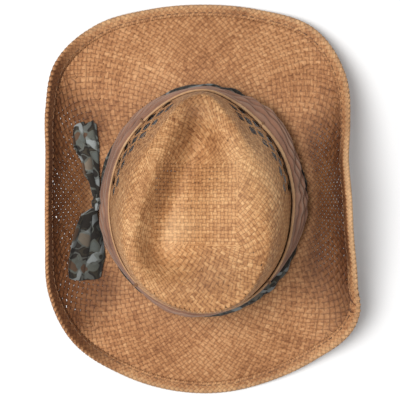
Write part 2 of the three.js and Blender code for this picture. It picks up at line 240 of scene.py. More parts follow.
def crown_outside(degrees, v):
    """The crown: v from 0 at its foot to 1 on the crest, then to 2 at the dent's centre."""
    degrees, v = np.broadcast_arrays(degrees * 1.0, v * 1.0)
    points, slope = crown_profile(degrees)
    wall, inward = clip(v, 0, 1), clip(v - 1, 0, None)
    r, z, _, _ = bezier(points, wall)
    for angle, depth in PINCHES:
        away = (degrees % 360.0 - angle) / PINCH_WIDTH
        r = r - depth * exp(-(away**2)) * sin(pi * wall**1.6) ** 2
    p = polar(degrees, r, z)
    to_centre = DENT_CENTRE - p[..., :2]
    p[..., :2] += to_centre * inward[..., None]
    height = points[-1][1]
    dome = slope * norm(to_centre) * inward * (1 - inward) ** 2
    top = height + dome + (TOP_HEIGHT - height) * smooth(inward) - dent(p[..., 0], p[..., 1], inward)
    p[..., 2] = BREAK_HEIGHT + where(v <= 1, p[..., 2], top)
    return p


def crown_normal(degrees, v):
    e = 0.01
    ahead = crown_outside(degrees, clip(v, 0, 1.95) + e)
    along = ahead - crown_outside(degrees, clip(v, e, 1.95) - e)
    round_it = crown_outside(degrees + 0.5, v) - crown_outside(degrees - 0.5, v)
    return unit(cross(round_it, along))


def wall_v(degrees, height):
    """The crown's v on its wall at a height over the break."""
    degrees, height = np.broadcast_arrays(degrees * 1.0, height * 1.0)
    points, _ = crown_profile(degrees)
    return halve(lambda v: bezier(points, v)[1] < height, degrees.shape, 20)


def wall_surface(degrees, height, lift):
    """A point on the crown's wall at a height over the break, lifted off it."""
    v = wall_v(degrees, height)
    return crown_outside(degrees, v) + crown_normal(degrees, v) * np.asarray(lift)[..., None]


# ---------------- making meshes
def link(name, data):
    thing = bpy.data.objects.new(name, data)
    bpy.context.scene.collection.objects.link(thing)
    return thing


def add_mesh(name, vertices, faces, look, node, attributes, body=BODY):
    """A piece in metres from vertices in millimetres, which rides on a body and stands for a CAD node.
    A look is a material and its slot in the record; the slot is not used."""
    material, slot = look
    mesh = bpy.data.meshes.new(name)
    mesh.from_pydata((np.asarray(vertices) * 0.001).tolist(), [], [list(f) for f in faces])
    mesh.shade_smooth()
    for key, values in attributes.items():
        data = mesh.attributes.new(key, "FLOAT", "POINT").data
        data.foreach_set("value", np.asarray(values, np.float32))
    mesh.materials.append(material)
    piece = link(name, mesh)
    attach(piece, body)
    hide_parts(node)
    return piece


def tube_faces(sections, corners, closed=False):
    """Faces round a run of sections that have equal corner counts, with flat ends unless closed."""
    i = arange(sections if closed else sections - 1)[:, None] * corners
    j = arange(corners)[None]
    k, n = (i + corners) % (sections * corners), (j + 1) % corners
    faces = stack([i + j, k + j, k + n, i + n], -1).reshape(-1, 4).tolist()
    if not closed:
        faces += [j[0].tolist(), (j[0, ::-1] + (sections - 1) * corners).tolist()]
    return faces


class Pile:
    """Collects closed bits of one material, with values at their points, into one mesh."""

    def __init__(self):
        self.vertices, self.faces, self.values, self.count = [], [], {}, 0

    def add(self, vertices, faces, **values):
        self.vertices.append(vertices)
        self.faces += [[i + self.count for i in face] for face in faces]
        self.count += len(vertices)
        for key, value in values.items():
            self.values.setdefault(key, []).append(np.broadcast_to(value, len(vertices)))

    def build(self, name, look, node):
        values = {key: concatenate(parts) for key, parts in self.values.items()}
        return add_mesh(name, np.vstack(self.vertices), self.faces, look, node, values)


# ---------------- weaving
RELIEF = 0.2  # how far a strand rises and falls over its neighbours
STRAND = 0.4  # a strand's thickness
TIGHT = 1.05  # a strand's width for its spacing, where no light shows through
STANDING = 0.03  # lowest that the straw reaches over what the hat stands on


class Course:
    """One family of strands that spiral out over a surface. As the surface widens, a new pair comes
    in between the middle two of each four strands, so four become six."""

    BORN = 0.3  # how far a gap has opened when its new pair starts

    def __init__(self, seed, count, stages, sign):
        self.rng = np.random.default_rng(seed)
        self.counts, self.stages = [count], []
        for low, length, starts in stages:
            groups = self.counts[-1] // 4
            angle = (arange(groups) + 0.5) * 360 / groups
            self.stages.append((low, length, starts(angle + sign * 25, self.rng.random(groups))))
            self.counts.append(groups * 6)

    def progress(self, m, group, s):
        low, length, starts = self.stages[m]
        return smooth((s - starts[group % len(starts)]) / length)

    def strands(self, s):
        """Each strand's lateral place, its spacing and where it exists, for s of shape (m,)."""
        index = arange(self.counts[-1])
        history, alive = [], np.ones((len(index), len(s)), bool)
        for m in reversed(range(len(self.stages))):
            group, j = np.divmod(index, 6)
            a = self.progress(m, group[:, None], s[None])
            history.append((m, group, j, a))
            new = (j == 2) | (j == 3)
            alive &= ~new[:, None] | (a > self.BORN)
            index = 4 * group + np.array([0, 1, 2, 2, 2, 3])[j]
        place = np.repeat(index[:, None] * 1.0, len(s), 1)
        spacing = np.ones_like(place)
        for m, group, j, a in reversed(history):
            w = (2 / 3) ** m
            first = np.array([0, 1, 1.5, 1.5, 2, 3])[j][:, None]
            last = (j * 2 / 3)[:, None]
            there = s[None] >= self.stages[m][0]
            place = where(there, w * (4 * group[:, None] + first + (last - first) * a), place)
            spacing = where(there, w * (1 - a / 3), spacing)
        return place, spacing, alive

    def phase(self, place, s):
        """How many strands lie before a lateral place, up to a whole group: odd and even alternate."""
        place = mod(place, self.counts[0])
        phase = place
        for m, (low, _, _) in enumerate(self.stages):
            x = place / (2 / 3) ** m
            group = np.floor(x / 4).astype(int)
            x = x - 4 * group
            a = self.progress(m, group, s)
            few = (0, 1 - a / 3, 2 + 2 * a / 3, 3 + a / 3, 4)
            many = (0, 1 - a / 3, 1.5 - a / 6, 1.5 + a / 2, 2 + 2 * a / 3, 3 + a / 3, 4)
            count = [
                sum(clip((x - p) / (q - p), 0, 1) for p, q in zip(knots, knots[1:]))
                for knots in (few, many)
            ]
            phase = where(s >= low, where(a > self.BORN, count[1], count[0]), phase)
        return phase


def wobble(rng, strands, s, waves=3):
    """Slow uneven waves along each strand, from about -1 to 1."""
    total = np.zeros((strands, len(s)))
    for k in range(1, waves + 1):
        turn = rng.random((strands, 1)) * 2 * pi
        rate = (k + rng.random((strands, 1))) * 2 * pi
        total += sin(turn + rate * s[None]) / waves
    return total


class StrandMesh(Pile):
    """Woven strands: flat ribbons with a rounded face, closed at their ends."""

    def strand(self, p, normal, width, tone, painted_shade, thickness=STRAND):
        """One strand through p, with arrays of normals, widths, tones and painted shade values."""
        n = len(p)
        if n < 3:
            return
        side = unit(cross(unit(np.gradient(p, axis=0)), normal))
        half = side * (width / 2)[:, None]
        lift = normal * (thickness / 2)
        corners = stack([p + half, p + lift, p - half, p - lift], 1).reshape(-1, 3)
        corners[:, 2] = maximum(corners[:, 2], STANDING)
        rows = {"tone": tone, "along": run_length(p), "painted_shade": painted_shade}
        rows = {key: np.repeat(row, 4) for key, row in rows.items()}
        self.add(corners, tube_faces(n, 4), across=np.tile([1, 0, -1, 0], n), **rows)

    def build(self, name, look, node):
        """The mesh, with the strands' side edges sharp."""
        piece = super().build(name, look, node)
        ends = np.zeros(2 * len(piece.data.edges), int)
        piece.data.edges.foreach_get("vertices", ends)
        corner = (ends % 4).reshape(-1, 2)
        sharp = (corner[:, 0] == corner[:, 1]) & (corner[:, 0] % 2 == 0)
        piece.data.attributes.new("sharp_edge", "BOOLEAN", "EDGE").data.foreach_set("value", sharp)


def build_courses(name, meshes, look, node):
    """The two courses of a woven piece, which stand for one CAD node."""
    for letter, mesh in zip("ab", meshes):
        mesh.build(f"{name}_strands_{letter}", look, node)


def weave(surface, seeds, count, stages, samples, width_of, painted_shade_of, lay=None, warp=None, ends=0.0):
    """Two spiral courses over surface(degrees, s) -> (points, normals). Gives a StrandMesh for each."""
    lay = lay or (lambda turns, s: turns)
    s = linspace(0, 1, samples)
    before, after = maximum(s - 0.004, 0), minimum(s + 0.004, 1)
    ring = arange(0, 360, 3.0)[:, None]
    run = norm(surface(ring, after[None])[0] - surface(ring, before[None])[0])
    turn = norm(surface(ring + 0.5, s[None])[0] - surface(ring, s[None])[0])
    rate = (run / (after - before)).mean(0) / (turn / radians(0.5)).mean(0)
    swing = concatenate([[0], ((rate[1:] + rate[:-1]) / 2 * np.diff(s)).cumsum()])
    courses = [Course(seed, count, stages, sign) for seed, sign in zip(seeds, (1, -1))]
    made = []
    for which, (own, other) in enumerate((courses, courses[::-1])):
        sign = 1 - 2 * which
        place, spacing, alive = own.strands(s)
        strands = len(place)
        place = place + 0.07 * spacing * wobble(own.rng, strands, s, 4)
        turn_unit = 360 / count
        degrees = place * turn_unit + sign * np.degrees(swing)[None]
        crossed = place + sign * 2 * np.degrees(swing)[None] / turn_unit
        parity = arange(strands)[:, None] % 2
        rise = sign * cos(pi * (other.phase(crossed, s[None]) + parity))
        at = np.repeat(s[None], strands, 0)
        squeeze = np.ones_like(at)
        step = surface(lay(degrees + 0.5, at), at)[0] - surface(lay(degrees, at), at)[0]
        degrees = lay(degrees, at)
        heading = unit(np.gradient(surface(degrees, at)[0], axis=1))
        pitch = norm(cross(step, heading)) / 0.5 * turn_unit * spacing
        if warp:
            degrees, at, squeeze = warp(degrees, at)
        p, normal = surface(degrees, at)
        width = pitch * width_of(degrees, at) * squeeze * (1 + 0.06 * wobble(own.rng, strands, s, 4))
        p = p + normal * (RELIEF * rise)[..., None]
        if ends:
            tuck = clip(1 - minimum(s, 1 - s) / ends, 0, 1)
            p = p - normal * (0.5 * tuck**2)[None, :, None]
        shade = own.rng.normal(0, 0.45, (strands, 1)) + 0.5 * wobble(own.rng, strands, s, 9)
        painted_shade = painted_shade_of(degrees, at)
        mesh = StrandMesh()
        for k, keep in enumerate(alive):
            mesh.strand(*(rows[k][keep] for rows in (p, normal, width, shade, painted_shade)))
        made.append(mesh)
    return made


# ---------------- materials
BLACK, WHITE = (0, 0, 0), (255, 255, 255)


def colour(value):
    """A linear colour from an sRGB one of 0 to 255. A socket or a linear colour stays as it is."""
    if isinstance(value, bpy.types.NodeSocket) or len(value) == 4:
        return value
    c = np.array(value) / 255
    return tuple(where(c <= 0.04045, c / 12.92, ((c + 0.055) / 1.055) ** 2.4)) + (1.0,)


class Nodes:
    """A small helper for building a material's node tree."""

    def __init__(self, name):
        self.material = bpy.data.materials.new(name)
        self.material.use_nodes = True
        self.tree = self.material.node_tree
        self.shader = self.tree.nodes["Principled BSDF"]

    def add(self, kind, inputs=None, **settings):
        node = self.tree.nodes.new(kind)
        for key, value in settings.items():
            setattr(node, key, value)
        for key, value in (inputs or {}).items():
            self.put(node.inputs[key], value)
        return node

    def put(self, socket, value):
        if isinstance(value, bpy.types.NodeSocket):
            self.tree.links.new(value, socket)
        else:
            socket.default_value = value

    def math(self, operation, a, b=0.0, c=0.0, clamp=False):
        inputs = {0: a, 1: b, 2: c}
        return self.add("ShaderNodeMath", inputs, operation=operation, use_clamp=clamp).outputs[0]

    def scaled(self, value, factor, offset=0.0):
        return self.math("MULTIPLY_ADD", value, factor, offset)

    def mix(self, share, a, b, strength=1.0, blend="MIX"):
        """Colour b over colour a, by a share times a strength."""
        inputs = {0: self.math("MULTIPLY", share, strength, clamp=True), 6: colour(a), 7: colour(b)}
        return self.add("ShaderNodeMix", inputs, data_type="RGBA", blend_type=blend).outputs[2]

    def ramp(self, value, stops, interpolation="LINEAR"):
        """A colour ramp through stops of (position, colour)."""
        node = self.add("ShaderNodeValToRGB", {0: value})
        node.color_ramp.interpolation = interpolation
        elements = node.color_ramp.elements
        while len(elements) < len(stops):
            elements.new(0.5)
        for element, (position, rgb) in zip(elements, stops):
            element.position = position
            element.color = colour(rgb)
        return node.outputs[0]

    def attribute(self, name):
        return self.add("ShaderNodeAttribute", attribute_name=name).outputs["Fac"]

    def noise(self, scale, detail=2.0, vector=None, roughness=0.5):
        inputs = {"Scale": scale, "Detail": detail, "Roughness": roughness, "Vector": vector or self.place()}
        return self.add("ShaderNodeTexNoise", inputs).outputs[0]

    def wave(self, scale, distortion, direction, vector=None, detail=2.0):
        inputs = {"Scale": scale, "Distortion": distortion, "Detail": detail}
        inputs["Vector"] = vector or self.place()
        return self.add("ShaderNodeTexWave", inputs, bands_direction=direction).outputs["Fac"]

    def place(self):
        return self.add("ShaderNodeTexCoord").outputs["Object"]

    def bump(self, height, strength, distance):
        node = self.add("ShaderNodeBump", {"Strength": strength, "Distance": distance, "Height": height})
        self.put(self.shader.inputs["Normal"], node.outputs[0])

    def finish(self, base, roughness, sheen=0.0, specular=0.5):
        self.put(self.shader.inputs["Base Color"], base)
        self.put(self.shader.inputs["Roughness"], roughness)
        self.shader.inputs["Sheen Weight"].default_value = sheen
        self.shader.inputs["Specular IOR Level"].default_value = specular
        return self.material


PAINTED_SHADE_TINT = (0.22, 0.14, 0.08, 1.0)  # painted shade: what the straw's colour is multiplied by where its painted shade value is 1
# what the straw is lightened towards where its painted shade value is below 0: painted light on the crown
# and on the hem's right side, and a paler hem fold elsewhere
PALE_TINT = (246, 214, 166)


def straw_material(name, dark, middle, light):
    """Raffia: each strand its own shade, with long fibres and knots, painted shade along its edges in the
    lines between strands, and painted shade and light set by its painted shade value.
    """
    n = Nodes(name)
    along, across, tone, painted_shade = (n.attribute(key) for key in ("along", "across", "tone", "painted_shade"))
    stretched = {"X": n.scaled(along, 0.09), "Y": n.scaled(across, 1.6), "Z": n.scaled(tone, 9.0)}
    fibres = n.noise(1.6, 3.0, n.add("ShaderNodeCombineXYZ", stretched).outputs[0], 0.6)
    blend = n.scaled(tone, 0.14, 0.53)
    for texture, strength in ((n.noise(22.0, 3.0), 0.5), (n.noise(260.0, 2.0), 0.7), (fibres, 0.6)):
        blend = n.math("ADD", blend, n.scaled(texture, strength, -strength / 2))
    base = n.ramp(blend, [(0.12, dark), (0.5, middle), (0.9, light)])
    # painted shade along each strand's side edges, darkening the lines between strands
    rim = n.math("POWER", n.math("ABSOLUTE", across), 3.0)
    base = n.mix(rim, base, (70, 36, 18), 0.72)
    knots = n.ramp(n.noise(170.0, 2.0), [(0.68, BLACK), (0.76, WHITE)])
    base = n.mix(knots, base, (96, 52, 24), 0.4)
    # painted shade where the painted shade value is above 0, and lightening where it is below 0
    base = n.mix(painted_shade, base, PAINTED_SHADE_TINT, blend="MULTIPLY")
    base = n.mix(painted_shade, base, PALE_TINT, -1.0)
    n.bump(fibres, 0.3, 0.0003)
    return n.finish(base, n.scaled(fibres, 0.25, 0.5), 0.03, 0.22)


STRAW_BRIM = straw_material("straw_brim", (110, 64, 36), (174, 121, 79), (212, 161, 114)), "straw"
STRAW_HEM = straw_material("straw_hem", (118, 72, 42), (174, 123, 82), (210, 162, 114)), "hem_straw"
STRAW_CROWN = straw_material("straw_crown", (118, 71, 38), (180, 129, 83), (224, 178, 126)), "straw"


# ---------------- tubes and cloth
def tube(p, normal, side_radius, out_radius, corners=8, closed=False):
    """A bar of oval section along points whose normals say which way its outer face looks."""
    tangent = np.roll(p, -1, 0) - np.roll(p, 1, 0) if closed else np.gradient(p, axis=0)
    side = unit(cross(tangent, normal))
    out = unit(cross(side, tangent))
    a = (2 * pi * arange(corners) / corners)[None, :, None]
    across, above = (np.broadcast_to(r, len(p))[:, None, None] for r in (side_radius, out_radius))
    ring = p[:, None] + across * cos(a) * side[:, None] + above * sin(a) * out[:, None]
    return ring.reshape(-1, 3), tube_faces(len(p), corners, closed=closed)


def cloth(name, grid, thickness, look, node, body=BODY, around=False, fold_shade=0.0):
    """A thin closed sheet through a grid of points, with its place on the flat cloth kept for prints.
    The fold shade is 1 where painted shade lies in a fold, and less than 0 where a fold's crest gets a
    painted highlight."""
    n, m = grid.shape[:2]
    first = np.roll(grid, -1, 0) - np.roll(grid, 1, 0) if around else np.gradient(grid, axis=0)
    normal = unit(cross(first, np.gradient(grid, axis=1)))
    vertices = stack([grid + normal * thickness / 2, grid - normal * thickness / 2])
    index = arange(2 * n * m).reshape(2, n, m)
    if around:
        index = concatenate([index, index[:, :1]], 1)
    top, under = index
    sides = [
        (top[:-1, :-1], top[1:, :-1], top[1:, 1:], top[:-1, 1:]),
        (under[:-1, 1:], under[1:, 1:], under[1:, :-1], under[:-1, :-1]),
        (top[1:, 0], top[:-1, 0], under[:-1, 0], under[1:, 0]),
        (top[:-1, -1], top[1:, -1], under[1:, -1], under[:-1, -1]),
    ]
    if not around:
        sides.append((top[0, :-1], top[0, 1:], under[0, 1:], under[0, :-1]))
        sides.append((top[-1, 1:], top[-1, :-1], under[-1, :-1], under[-1, 1:]))
    faces = np.vstack([stack(side, -1).reshape(-1, 4) for side in sides])
    u = concatenate([[0], norm(np.diff(grid, axis=0)).mean(1).cumsum()])
    v = norm(np.diff(grid, axis=1)).cumsum(1)
    v = np.hstack([np.zeros((n, 1)), v])
    if around:  # round a ring, so that a print has no break
        radius = u[-1] / (2 * pi)
        x, y = radius * cos(u / radius), radius * sin(u / radius)
    else:
        x, y = u, 0 * u
    spread = {"cloth_x": x[:, None], "cloth_y": y[:, None], "cloth_v": v, "fold_shade": fold_shade}
    attributes = {key: np.tile(np.broadcast_to(value, v.shape).ravel(), 2) for key, value in spread.items()}
    piece = add_mesh(name, vertices.reshape(-1, 3), faces.tolist(), look, node, attributes, body)


def dashes(path, count, share, width, height, steps=7):
    """A line of stitches along path(degrees) -> (points, normals), each dipping in at its ends."""
    pile = Pile()
    rng = np.random.default_rng(count)
    t = linspace(-1, 1, steps)
    for i in range(count):
        degrees = (i + 0.5 + t * share / 2 + 0.05 * rng.normal()) * 360 / count
        p, normal = path(degrees)
        p = p + normal * (height - 2.2 * height * t**6)[:, None]
        taper = 1 - 0.35 * t**4
        pile.add(*tube(p, normal, width / 2 * taper, height / 2 * taper, 6), tone=rng.normal())
    return pile


# ---------------- cloth, thread and metal
def cloth_material(name, base_of, sheen):
    """Woven cotton: its colour from base_of(nodes, place), with a thread grid, pilling and fading."""
    n = Nodes(name)
    on_cloth = {axis: n.attribute(key) for axis, key in zip("XYZ", ("cloth_x", "cloth_y", "cloth_v"))}
    place = n.add("ShaderNodeCombineXYZ", on_cloth).outputs[0]
    base = base_of(n, place)
    base = n.mix(n.noise(0.045, 3.0, place), base, (176, 160, 140), 0.1)
    grain = n.noise(1.7, 2.0, place)
    cord = n.scaled(n.wave(0.55, 0.6, "Z", place), 0.5, n.scaled(grain, 0.8))
    base = n.mix(cord, base, (30, 26, 24), 0.18)
    # painted shade in folds, and painted highlights on fold crests where the value is below 0
    fold_shade = n.attribute("fold_shade")
    base = n.mix(fold_shade, base, (16, 13, 12), 0.85)
    base = n.mix(fold_shade, base, (196, 174, 154), -0.6)
    n.bump(cord, 0.4, 0.0002)
    return n.finish(base, n.scaled(grain, 0.2, 0.72), sheen, 0.2)


LEAVES = [
    (0.0, (102, 74, 54)), (0.25, (44, 44, 36)), (0.45, (138, 126, 110)), (0.6, (20, 20, 22)),
    (0.82, (108, 116, 112)),
]
GROUND = [
    (0.0, (11, 11, 12)), (0.45, (56, 52, 40)), (0.51, (18, 19, 21)), (0.57, (96, 100, 96)),
    (0.63, (13, 13, 15)),
]


def print_base(n, place):
    """A camouflage print: big oval leaves over dark ground, with pale strokes across it."""
    bend = n.add("ShaderNodeTexNoise", {"Vector": place, "Scale": 0.07, "Detail": 1.5}).outputs["Color"]
    bent = {0: bend, 1: (14.0, 14.0, 14.0), 2: place}
    moved = n.add("ShaderNodeVectorMath", bent, operation="MULTIPLY_ADD").outputs[0]
    cells = n.add("ShaderNodeTexVoronoi", {"Vector": moved, "Scale": 0.062, "Randomness": 0.9}).outputs
    pick = n.add("ShaderNodeSeparateColor", {0: cells["Color"]}).outputs[0]
    leaf = n.ramp(pick, LEAVES, "CONSTANT")
    inside = n.ramp(cells["Distance"], [(0.3, WHITE), (0.34, BLACK)])
    rim = n.ramp(cells["Distance"], [(0.3, BLACK), (0.33, WHITE), (0.4, WHITE), (0.43, BLACK)])
    strokes = n.ramp(n.wave(0.016, 2.5, "DIAGONAL", moved, 1.0), [(0.88, BLACK), (0.93, WHITE)])
    base = n.ramp(n.noise(0.055, 1.0, moved), GROUND, "CONSTANT")
    base = n.mix(strokes, base, (176, 184, 184), 0.8)
    base = n.mix(rim, base, (118, 124, 116), 0.7)
    return n.mix(n.noise(0.12, 2.0, place), n.mix(inside, base, leaf), (26, 24, 22), 0.4)


def dyed_base(dark, light):
    """A plain dye that has washed out unevenly."""
    return lambda n, place: n.mix(n.noise(0.06, 4.0, place, 0.6), dark, light)


def grosgrain_base(n, place):
    return n.mix(n.wave(160.0, 0.4, "Z"), (44, 35, 31), (84, 70, 62))


CAMOUFLAGE = cloth_material("camouflage_cotton", print_base, 0.12), "camouflage"
MAUVE = cloth_material("mauve_cotton", dyed_base((98, 64, 52), (168, 120, 94)), 0.15), "mauve"
TAN = cloth_material("tan_cotton", dyed_base((162, 116, 76), (218, 178, 134)), 0.15), "tan"
GROSGRAIN = cloth_material("dark_grosgrain", grosgrain_base, 0.2), "cotton"
TAPE = cloth_material("label_tape", dyed_base((196, 190, 174), (226, 221, 208)), 0.2), "label"


def thread_material():
    """Waxed thread, each stitch its own shade, with twisted plies."""
    n = Nodes("stitch_thread")
    blend = n.scaled(n.attribute("tone"), 0.2, n.noise(300.0, 2.0))
    n.bump(n.wave(700.0, 1.0, "DIAGONAL"), 0.4, 0.0001)
    return n.finish(n.mix(blend, (88, 56, 32), (158, 112, 72)), n.scaled(blend, 0.2, 0.55), 0.1)


def steel_material():
    """Drawn brim wire: bright, with faint draw lines and spots of rust."""
    n = Nodes("brim_steel")
    rust = n.ramp(n.noise(260.0, 3.0), [(0.6, BLACK), (0.7, WHITE)])
    lines = n.noise(900.0, 2.0)
    n.bump(lines, 0.2, 0.00005)
    n.put(n.shader.inputs["Metallic"], n.math("SUBTRACT", 1.0, rust))
    return n.finish(n.mix(rust, (150, 152, 156), (110, 74, 50)), n.scaled(lines, 0.25, 0.25))


THREAD = thread_material(), "thread"
STEEL = steel_material()
for node in ("brim_wire", "wire_sleeve"):
    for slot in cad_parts[node].material_slots:
        slot.material = STEEL


# ---------------- brim
def brim_mid(degrees, s):
    """The brim's middle, out to just inside the hem's fold."""
    t = s * brim_t(degrees, WEAVE_STOP)
    p = brim_surface(degrees, t, STRAW / 2)
    return p, unit(brim_surface(degrees, t, STRAW / 2 + 1) - p)


def near_angle(degrees, middle, half, fade):
    """1 round a middle angle, fading to 0 at half degrees from it."""
    away = abs(mod(degrees - middle + 180, 360) - 180)
    return smooth((half - away) / fade)


def side_brims(degrees, left, right):
    """1 on the side brims, from each one's middle angle, half width and fade."""
    return maximum(near_angle(degrees, *left), near_angle(degrees, *right))


def looseness(degrees, s):
    """1 where the side brims are woven loosely."""
    return side_brims(degrees, (182, 46, 14), (1, 38, 14)) * smooth(s / 0.3)


def openness(degrees):
    """The share of the spacing that loosely woven strands leave open."""
    a = radians(degrees)
    return 0.17 + 0.12 * abs(sin(a)) + 0.1 * maximum(cos(a), 0)


def brim_painted_shade(degrees, s):
    """Painted shade on the steep, curled-up side brims, partly a darker dye, most near their edges and on
    the right.
    """
    rightward = maximum(cos(radians(degrees)), 0)
    start = smooth((s + 0.02) / 0.22)
    dark = side_brims(degrees, (185, 51, 14), (-3, 50, 24))
    return dark * start * (0.73 + 0.09 * rightward + 0.14 * smooth((s - 0.5) / 0.3))


def brim_starts(angle, chance):
    """Where new strands come in, later on the sides."""
    side = smooth((abs(cos(radians(angle))) - 0.55) / 0.3)
    return 0.12 + 0.25 * chance + (0.45 + 0.2 * chance) * side


brim = weave(
    brim_mid, seeds=(11, 12), count=128, stages=[(0.1, 0.14, brim_starts)], samples=104,
    width_of=lambda d, s: 1.03 - looseness(d, s) * openness(d),
    painted_shade_of=brim_painted_shade,
)
build_courses("brim", brim, STRAW_BRIM, "brim")

# ---------------- crown
PANEL_CENTRE = np.array([-7.0, -4.0])
PANEL_HALF = 36.0
PANEL_LAP = 1.2  # how far the spiral strands start inside the panel's edge
PANEL_STRAND = 3.2
RIB_WIDTH, RIB_THICKNESS, RIB_DEPTH = 1.8, 0.5, 0.75  # depth of its middle under the crown's outside
RIB_START = -8  # along the panel's edge


def panel_v(degrees):
    """The crown's v where its spiral strands start, at the panel in the top's middle."""
    half = PANEL_HALF - PANEL_LAP
    c = crown_outside(degrees, 1.0)[..., :2] - DENT_CENTRE
    offset = DENT_CENTRE - PANEL_CENTRE
    with np.errstate(divide="ignore", invalid="ignore"):
        reach = where(c > 0, (half - offset) / c, where(c < 0, (-half - offset) / c, np.inf))
    return 2 - clip(reach.min(-1), 0.05, 0.98)


def crown_mid(degrees, s):
    """The crown's middle, s from 0 at the top's panel to 1 at the foot."""
    v = panel_v(degrees) * (1 - s)
    normal = crown_normal(degrees, v)
    return crown_outside(degrees, v) - normal * STRAW / 2, normal


def even_turns(v):
    """The angles that step evenly along the crown's ring at v."""
    length = run_length(crown_outside(WHOLE_DEGREES, v))
    return interp(linspace(0, 1, 361), length / length[-1], WHOLE_DEGREES)


EVEN_PANEL = even_turns(panel_v(WHOLE_DEGREES))
EVEN_CREST = even_turns(1.0)
CREST_S = 0.35  # about where the crest lies


def lay_crown(turns, s):
    """Spaces the strands evenly round the panel, the crest and the foot."""
    lap, turn = np.divmod(turns, 360.0)
    panel, high = (interp(turn, WHOLE_DEGREES, table) for table in (EVEN_PANEL, EVEN_CREST))
    top = panel + (high - panel) * smooth(s / CREST_S)
    return 360 * lap + top + (turn - high) * smooth((s - CREST_S) / (1 - CREST_S))


VENT_ROWS = (43.0, 54.0, 65.0)
VENT_PITCH = 11.5
VENTS_IN_A_ROW = 6
VENT_STARTS = (8.0, 111.0)
VENT_HALF = (6.4, 7.8)  # along the wall and up it
VENT_REACH = 1.55  # how far strands are moved, in vents
VENT_SQUEEZE = 0.46  # width of the strands that bunch there
WALL_RADIUS = 82.0  # of the crown at the vents
VENTS = [
    (start + VENT_PITCH * (i + (row % 2) / 2), height)
    for start in VENT_STARTS
    for row, height in enumerate(VENT_ROWS)
    for i in range(VENTS_IN_A_ROW)
]


def open_vents(degrees, s):
    """Moves the strands aside round each vent, where they bunch along its four sides."""
    inner = panel_v(degrees)
    v = inner * (1 - s)
    wall = v < 1
    degrees = degrees % 360.0
    height = bezier(crown_profile(degrees)[0], clip(v, 0, 1))[1]
    squeeze = np.ones_like(s)
    for angle, centre in VENTS:
        dx = radians(degrees - angle) * WALL_RADIUS
        dy = height - centre
        d = maximum(abs(dx) / VENT_HALF[0] + abs(dy) / VENT_HALF[1], 1e-3)
        near = wall & (d < VENT_REACH) & (abs(dx) < 3 * VENT_HALF[0])
        d_new = 1 + (VENT_REACH - 1) * d / VENT_REACH
        share = where(near, d_new / d, 1.0)
        degrees = where(near, angle + np.degrees(dx * share / WALL_RADIUS), degrees)
        height = where(near, centre + dy * share, height)
        squeeze = where(near, VENT_SQUEEZE, squeeze)
    v = where(wall, wall_v(degrees, height), v)
    return degrees, 1 - v / panel_v(degrees), squeeze


CROWN_SHADING = [  # plan x, y, radius along x, along y, and how much painted shade, less than 0 for painted light
    (-28, -30, 22, 24, -0.22), (46, 40, 30, 44, -0.09), (-66, 10, 22, 70, 0.12), (-4, 80, 24, 22, 0.32),
    (-12, 66, 9, 26, 0.34), (8, -66, 46, 24, 0.3), (-19, 44, 9, 20, 0.22), (-31, 16, 9, 20, 0.24),
    (-42, -12, 9, 20, 0.2), (-50, -40, 10, 18, 0.14),
]


def crown_shading(p):
    """Painted shade along the dent's left wall, on the left flank and at the dent's rear, and painted light
    on the dent's floor and on the right shoulder.
    """
    return sum(
        shade * exp(-(((p[..., 0] - x) / wide) ** 2) - ((p[..., 1] - y) / deep) ** 2)
        for x, y, wide, deep, shade in CROWN_SHADING
    )


crown = weave(
    crown_mid, seeds=(21, 22), count=72,
    stages=[
        (0.06, 0.12, lambda angle, chance: 0.08 + 0.16 * chance),
        (0.4, 0.14, lambda angle, chance: 0.42 + 0.3 * chance),
    ],
    samples=190,
    width_of=lambda d, s: TIGHT,
    painted_shade_of=lambda d, s: crown_shading(crown_mid(d, s)[0]),
    lay=lay_crown,
    warp=open_vents,
)

crest_about = crown_outside(WHOLE_DEGREES, 1.0)[:, :2] - DENT_CENTRE
CREST_TURN = np.unwrap(np.arctan2(crest_about[:, 1], crest_about[:, 0]))


def top_at(x, y):
    """The crown's angle and v above a point of the plan."""
    q = stack([x, y], -1) - DENT_CENTRE
    turn = np.arctan2(q[..., 1], q[..., 0])
    turn = CREST_TURN[0] + mod(turn - CREST_TURN[0], 2 * pi)
    degrees = interp(turn, CREST_TURN, WHOLE_DEGREES)
    ridge = norm(crown_outside(degrees, 1.0)[..., :2] - DENT_CENTRE)
    return degrees, 2 - minimum(norm(q) / ridge, 1)


def top_point(q):
    """The crown's outside and its normal above points of the plan."""
    p = crown_outside(*top_at(q[:, 0], q[:, 1]))
    dx, dy = (crown_outside(*top_at(q[:, 0] + a, q[:, 1] + b)) - p for a, b in ((0.5, 0), (0, 0.5)))
    return p, unit(cross(dx, dy))


